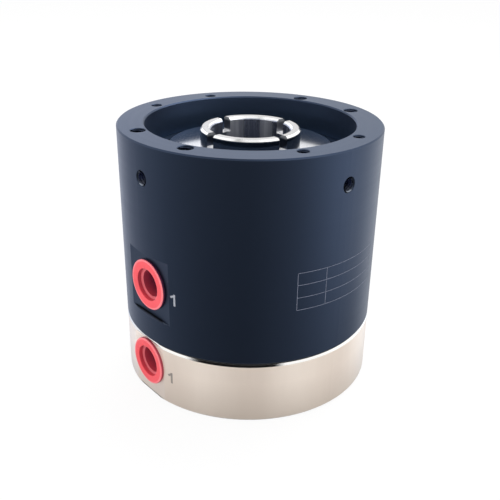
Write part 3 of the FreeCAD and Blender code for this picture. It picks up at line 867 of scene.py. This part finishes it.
for pieceName, (cadNode, body, flangeRadius, flat, polar, height, darkness) in ports.items():
    outline = plugOutline(plugLook, flangeRadius, flat)
    plug = radialLathe(pieceName, outline, polar, height, materials["plugPlastic"])
    shadePlug(plug, plugLook, flangeRadius, flat, polar, height, darkness)
    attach(plug, body)
    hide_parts(cadNode)
print("stage 5: plugs turned")


# Threads: a ridge that climbs one pitch per turn on the wall of a hole

threadLook = {
    "sideHole": {"radius": 2.49, "depth": 0.17, "pitch": 1.0, "from": 0.15, "length": 7.1},
    "rimLarge": {"radius": 2.74, "depth": 0.17, "pitch": 1.0, "from": 0.2, "length": 10.5},
    "rimSmall": {"radius": 2.09, "depth": 0.14, "pitch": 0.8, "from": 0.2, "length": 9.5},
    "mountHole": {"radius": 2.49, "depth": 0.32, "pitch": 1.0, "from": 0.5, "length": 11.0},
    "port": {"radius": 7.465, "depth": 0.17, "pitch": 1.337, "from": 0.8, "length": 9.8},
}
ridgeShape = np.array(((0.06, 0.0), (0.38, 1.0), (0.62, 1.0), (0.94, 0.0)))   # shares of pitch and depth


def threadRidge(name, look, mouth, inward, material, segments=40):
    # Distance along the hole = pitch * (turns + share of the pitch), and the radius falls by the depth's
    # share; both ends run out into the wall over the first and last half turn
    turns = look["length"] / look["pitch"] - 1
    turn = np.linspace(0, turns, int(turns * segments))[:, None]
    share, crest = ridgeShape.T[:, None]
    fade = np.clip(np.minimum(turn, turns - turn) * 2, 0, 1)
    radius = look["radius"] - look["depth"] * crest * fade
    along = look["from"] + look["pitch"] * (turn + share)
    direction = np.array(inward, float)
    side = np.cross(direction, (0, 0, 1.0) if abs(direction[2]) < 0.5 else (1.0, 0, 0))
    side = side / np.linalg.norm(side)
    other = np.cross(direction, side)
    angle = turn * 2 * math.pi
    ring = np.cos(angle)[..., None] * side + np.sin(angle)[..., None] * other
    points = np.array(mouth) + radius[..., None] * ring + along[..., None] * direction
    return gridPiece(name, points, material, 60.0, capEnds=True)


holePlaces = {
    "quarters": (-90, 0, 90, 180),    # polar angles of the side holes, between two rim holes each
    "largeQuarters": (-90, 90),       # those whose rim holes are the large ones
    "wallRadius": 50.0,
    "sideHeight": 88.6,
    "rimRadius": 43.5,
    "rimHeight": 101.0,
    "rimOffset": 18.75,               # degrees from each quarter to the rim holes beside it
    "mountRadius": 42.0,
    "mountCount": 6,
}


def listHoles(look):
    # name, kind of thread, the middle of the mouth, the direction into the hole and the piece that it is in
    holes = []
    for number, polar in enumerate(look["quarters"]):
        mouth = polarPoint(look["wallRadius"], polar, look["sideHeight"])
        holes.append((f"side_thread_{number + 1}", "sideHole", mouth, -axisFrame(polar)[0], "housing"))
    for number, polar in enumerate(look["quarters"]):
        kind = "rimLarge" if polar in look["largeQuarters"] else "rimSmall"
        for hand, offset in (("a", -look["rimOffset"]), ("b", look["rimOffset"])):
            mouth = polarPoint(look["rimRadius"], polar + offset, look["rimHeight"])
            holes.append((f"rim_thread_{number + 1}{hand}", kind, mouth, (0, 0, -1), "housing"))
    for number in range(look["mountCount"]):
        mouth = polarPoint(look["mountRadius"], number * 360 / look["mountCount"] + restTurn, 0)
        holes.append((f"mount_thread_{number + 1}", "mountHole", mouth, (0, 0, 1), "base"))
    for pieceName, (cadNode, body, flangeRadius, flat, polar, height, darkness) in ports.items():
        mouth = polarPoint(flat, polar, height)
        owner = pieceName.split("_")[0]
        holes.append((pieceName.replace("plug", "port_thread"), "port", mouth, -axisFrame(polar)[0], owner))
    return holes


owners = {
    "housing": ("housing_unit", "housingAnodised", "housing_anodised"),
    "base": ("base_and_shaft", "baseSatin", "base_metal"),
}
threadMaterials = {"sideHole": "sideThread", "rimLarge": "rimThread", "rimSmall": "rimThread"}
holes = listHoles(holePlaces)
for name, kind, mouth, inward, owner in holes:
    body, materialName, slotName = owners[owner]
    material = materials[threadMaterials.get(kind, materialName)]
    thread = threadRidge(name, threadLook[kind], mouth, inward, material)
    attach(thread, body)

# Countersinks of the side holes: a narrow cone from the round wall down to the thread
edgeLook = {"radius": 2.5, "wide": 0.36, "deep": 0.36, "foot": 0.504, "sunk": 0.01}


def holeEdge(name, look, polar, height, wallRadius, segments=96):
    # (across, below the wall) of the cone's outer edge, its inner edge and the foot on the hole's wall;
    # the round wall lies at sqrt(wall radius ^ 2 - sideways ^ 2)
    outward, sideways, up = axisFrame(polar)
    across = np.array((look["radius"], look["radius"] - look["wide"], look["radius"]))[:, None]
    below = np.array((look["sunk"], look["deep"], look["foot"]))[:, None]
    cosine, sine = circle(segments)
    aside = across * cosine
    rise = across * sine
    out = np.sqrt(wallRadius ** 2 - aside ** 2) - below
    points = aside[..., None] * sideways + (rise + height)[..., None] * up + out[..., None] * outward
    return gridPiece(name, points, materials["sideEdge"], 20.0, loop=True)


for number, polar in enumerate(holePlaces["quarters"]):
    edge = holeEdge(f"side_countersink_{number + 1}", edgeLook, polar, holePlaces["sideHeight"],
                    holePlaces["wallRadius"])
    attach(edge, "housing_unit")
print("stage 6:", len(holes), "threads cut")


# Marks on the round walls: port numbers and the empty table

markLook = {
    "wallRadius": 50.0,
    "proud": 0.025,
    "sunk": 0.05,
    "digitHeight": 4.6,
    "digitWidth": 2.1,
    "stroke": {"laserPale": 0.78, "laserDark": 0.9},
    "flag": (0.7, 1.7),       # how many strokes below the top the flag of the 1 starts and ends
    "arc": (165.0, -35.0),    # degrees where the arc of the 2 starts and ends
    "arcTall": 1.05,          # and how much it is stretched upwards
    "arcSteps": 24,
    "footSteps": 6,
    "tableLine": 0.2,
}


def ribbonOnWall(name, path, width, polar, height, material, look):
    # A flat path (sideways, up) widened to both sides and wrapped on the round wall, with a small thickness
    heading = np.gradient(path, axis=0)
    heading = heading / np.linalg.norm(heading, axis=1)[:, None]
    normal = np.stack([-heading[:, 1], heading[:, 0]], axis=-1)
    left = path + normal * width / 2
    right = path - normal * width / 2
    flat = np.stack([left, right, right, left], axis=1)
    wall = look["wallRadius"] + np.array((look["proud"], look["proud"], -look["sunk"], -look["sunk"]))[None]
    angle = math.radians(polar) + flat[..., 0] / look["wallRadius"]
    points = np.stack([wall * np.cos(angle), wall * np.sin(angle), height + flat[..., 1]], axis=-1)
    return gridPiece(name, points, material, 30.0, capEnds=True)


def joinPieces(name, pieces):
    bpy.ops.object.select_all(action="DESELECT")
    for piece in pieces:
        piece.select_set(True)
    bpy.context.view_layer.objects.active = pieces[0]
    bpy.ops.object.join()
    pieces[0].name = name
    pieces[0].data.name = name
    return pieces[0]


def digitPaths(digit, look, stroke):
    # 1: a stem and a short flag from its top. 2: an arc that runs on to the foot's corner, and the foot
    half, edge = look["digitHeight"] / 2, look["digitWidth"] / 2
    if digit == 1:
        stem = edge - stroke / 2
        start, end = (half - stroke * drop for drop in look["flag"])
        return [np.linspace((stem, -half), (stem, half), 2), np.linspace((stem, start), (-edge, end), 2)]
    bow = edge - stroke / 2
    turn = np.radians(np.linspace(*look["arc"], look["arcSteps"]))
    arc = np.stack([bow * np.cos(turn), half - edge + bow * look["arcTall"] * np.sin(turn)], axis=-1)
    foot = -half + stroke / 2
    run = np.linspace(arc[-1], (-edge + stroke * 0.45, foot), look["footSteps"])
    return [np.concatenate([arc, run[1:]]), np.linspace((-edge, foot), (edge, foot), 2)]


numbers = {
    "housing_number_1": (1, -90 + 15.7, 46.4, "housing_unit", "laserPale", "housing_anodised"),
    "housing_number_2": (2, 90 + 15.7, 62.4, "housing_unit", "laserPale", "housing_anodised"),
    "base_number_1": (1, -90 + restTurn + 14.7, 12.35, "base_and_shaft", "laserDark", "base_metal"),
    "base_number_2": (2, 90 + restTurn + 14.7, 12.35, "base_and_shaft", "laserDark", "base_metal"),
}
for name, (digit, polar, height, body, materialName, slotName) in numbers.items():
    wide = markLook["stroke"][materialName]
    strokes = [ribbonOnWall(f"{name}_stroke", path, wide, polar, height, materials[materialName], markLook)
               for path in digitPaths(digit, markLook, wide)]
    mark = joinPieces(name, strokes)
    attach(mark, body)

tableLook = {
    "startPolar": -22.2,      # polar angle of the table's left edge
    "columns": (0.0, 11.6, 40.0),
    "rows": (60.0, 55.35, 50.45, 45.6),
    "bends": 60,              # points along a line that follows the round wall
}


def makeTable(look, marks):
    left, right = look["columns"][0], look["columns"][-1]
    top, bottom = look["rows"][0], look["rows"][-1]
    lines = [np.linspace((left, height), (right, height), look["bends"]) for height in look["rows"]]
    lines += [np.linspace((across, bottom), (across, top), 2) for across in look["columns"]]
    paint = materials["laserLine"]
    pieces = [ribbonOnWall("table_line", line, marks["tableLine"], look["startPolar"], 0, paint, marks)
              for line in lines]
    made = joinPieces("empty_table", pieces)
    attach(made, "housing_unit")


makeTable(tableLook, markLook)
print("stage 7: numbers and empty table marked")


# Studio

floorLook = {
    "half": 3.0,              # metres from the middle to each edge
    "colour": (0.93, 0.93, 0.93),
    "cameraWhite": 0.89,      # how much of the floor the camera sees as plain white
}


def makeFloor(look):
    half = look["half"]
    mesh = bpy.data.meshes.new("floor")
    corners = [(-half, -half, 0), (half, -half, 0), (half, half, 0), (-half, half, 0)]
    mesh.from_pydata(corners, [], [(0, 1, 2, 3)])
    floor = bpy.data.objects.new("floor", mesh)
    scene.collection.objects.link(floor)
    made, tree, shader = newMaterial("floorPale")
    tree.nodes.remove(shader)
    rays = addNode(tree, "LightPath").outputs
    matte = addNode(tree, "BsdfDiffuse", {"Color": look["colour"]})
    white = addNode(tree, "Emission", {"Color": (1, 1, 1), "Strength": 1.0})
    clear = addNode(tree, "BsdfTransparent")
    share = product(tree, rays["Is Camera Ray"], look["cameraWhite"])
    seen = addNode(tree, "MixShader", {0: share, 1: matte.outputs[0], 2: white.outputs[0]})
    mirrored = mathNode(tree, "MAXIMUM", rays["Is Glossy Ray"], rays["Is Transmission Ray"])
    whole = addNode(tree, "MixShader", {0: mirrored, 1: seen.outputs[0], 2: clear.outputs[0]})
    setSockets(tree, tree.nodes["Material Output"], {"Surface": whole.outputs[0]})
    mesh.materials.append(made)


skyLook = {
    "front": cameraView["azimuth"],    # azimuth of the dim side, which is the camera's
    # share of a full turn from straight behind, clockwise from above, and the brightness there
    "ring": ((0.0, 1.32), (0.03, 0.94), (0.06, 1.08), (0.085, 1.20), (0.11, 1.42), (0.15, 1.40), (0.20, 1.36),
             (0.265, 1.84), (0.33, 1.12), (0.40, 0.47), (0.5, 0.23), (0.60, 0.32), (0.68, 0.50), (0.76, 0.80),
             (0.85, 0.94), (0.93, 1.5), (0.965, 1.42), (1.0, 1.30)),
    "tints": {0.85: (0.985, 1.0, 1.08), 0.93: (0.985, 1.0, 1.08), 0.965: (0.98, 1.02, 1.15)},
    # dimmer stretches low on the picture's right: where each starts and ends, its upper edge and its share
    "dim": (
        {"start": 0.13, "end": 0.42, "soft": 0.06, "high": -0.41, "edge": 0.10, "share": 0.49},
        {"start": 0.08, "end": 0.34, "soft": 0.06, "high": -0.49, "edge": 0.10, "share": 0.62},
    ),
    "low": 0.72,              # the ring's share of it far below the horizon, and where that changes
    "lowSpan": (-0.58, -0.36),
    "top": 1.12,              # brightness overhead, and where the ring turns into it
    "topSpan": (0.15, 0.62),
    # a dark band over the camera: its brightness, where it starts and ends, and its edges above the horizon
    "ceiling": {"level": 0.01, "start": 0.394, "end": 0.668, "soft": 0.012,
                "lower": (0.62, 0.70), "upper": (0.93, 0.95)},
}


def makeSky(look):
    world = bpy.data.worlds.new("studio")
    scene.world = world
    world.use_nodes = True
    tree = world.node_tree
    tree.nodes.clear()
    direction = addNode(tree, "TexCoord").outputs["Generated"]
    turn = (0, 0, math.radians(-look["front"]))
    turned = addNode(tree, "Mapping", {"Vector": direction, "Rotation": turn})
    x, y, z = splitVector(tree, turned.outputs[0])
    # in the turned frame the camera is at -Y: the angle runs from -180 to 180 with 0 straight behind
    behind = remap(tree, mathNode(tree, "ARCTAN2", x, y), -math.pi, math.pi)
    around = mathNode(tree, "FRACT", mathNode(tree, "ADD", behind, 0.5))
    ramp = addNode(tree, "ValToRGB", {0: around})
    stops = ramp.color_ramp.elements
    for number, (position, level) in enumerate(look["ring"]):
        stop = stops[number] if number < 2 else stops.new(position)
        stop.position = position
        stop.color = (*(level * part for part in look["tints"].get(position, (1.0, 1.0, 1.0))), 1.0)
    ramp.color_ramp.interpolation = "EASE"
    sunk = remap(tree, z, *look["lowSpan"], look["low"], 1.0)
    ring = mixColours(tree, 1.0, ramp.outputs[0], sunk, "MULTIPLY")
    for dim in look["dim"]:
        first = remap(tree, around, dim["start"], dim["start"] + dim["soft"])
        last = remap(tree, around, dim["end"] - dim["soft"], dim["end"], 1.0, 0.0)
        lower = remap(tree, z, dim["high"] - dim["edge"], dim["high"], 1.0, 0.0)
        kept = mathNode(tree, "MULTIPLY_ADD", product(tree, first, last, lower), -dim["share"], 1.0)
        ring = mixColours(tree, 1.0, ring, kept, "MULTIPLY")
    light = mixColours(tree, remap(tree, z, *look["topSpan"]), ring, (look["top"],) * 3)
    dark = look["ceiling"]
    soft = dark["soft"]
    after = remap(tree, around, dark["start"] - soft, dark["start"] + soft)
    before = remap(tree, around, dark["end"] - soft, dark["end"] + soft, 1.0, 0.0)
    over = remap(tree, z, *dark["lower"])
    under = remap(tree, z, *dark["upper"], 1.0, 0.0)
    light = mixColours(tree, product(tree, after, before, over, under), light, (dark["level"],) * 3)
    rays = addNode(tree, "LightPath").outputs
    lit = addNode(tree, "Background", {"Color": light, "Strength": 1.0})
    white = addNode(tree, "Background", {"Color": (1, 1, 1), "Strength": 1.0})
    seen = addNode(tree, "MixShader", {0: rays["Is Camera Ray"], 1: lit.outputs[0], 2: white.outputs[0]})
    addNode(tree, "OutputWorld", {"Surface": seen.outputs[0]})


# angles in degrees from the camera's side and above the horizon; metres; watts
lampLooks = {
    "overheadLamp": {"turn": 150.0, "rise": 62.0, "distance": 0.9, "size": 0.7, "power": 6.0,
                     "mirrored": True},
    "keyLamp": {"turn": -35.0, "rise": 25.0, "distance": 1.0, "size": 0.8, "power": 3.9,
                "mirrored": False},
}


def makeLamp(name, look, aim=0.05):
    # A square lamp that looks at the turning axis at the aim's height
    data = bpy.data.lights.new(name, "AREA")
    data.shape = "SQUARE"
    data.size = look["size"]
    data.energy = look["power"]
    lamp = bpy.data.objects.new(name, data)
    scene.collection.objects.link(lamp)
    azimuth, rise = math.radians(cameraView["azimuth"] + look["turn"]), math.radians(look["rise"])
    back = Vector((math.sin(azimuth) * math.cos(rise), -math.cos(azimuth) * math.cos(rise), math.sin(rise)))
    lamp.visible_glossy = look["mirrored"]
    lamp.location = back * look["distance"] + Vector((0, 0, aim))
    lamp.rotation_mode = "QUATERNION"
    lamp.rotation_quaternion = back.to_track_quat("Z", "Y")


makeFloor(floorLook)
makeSky(skyLook)
for name, look in lampLooks.items():
    makeLamp(name, look)
print("stage 8: studio lit")
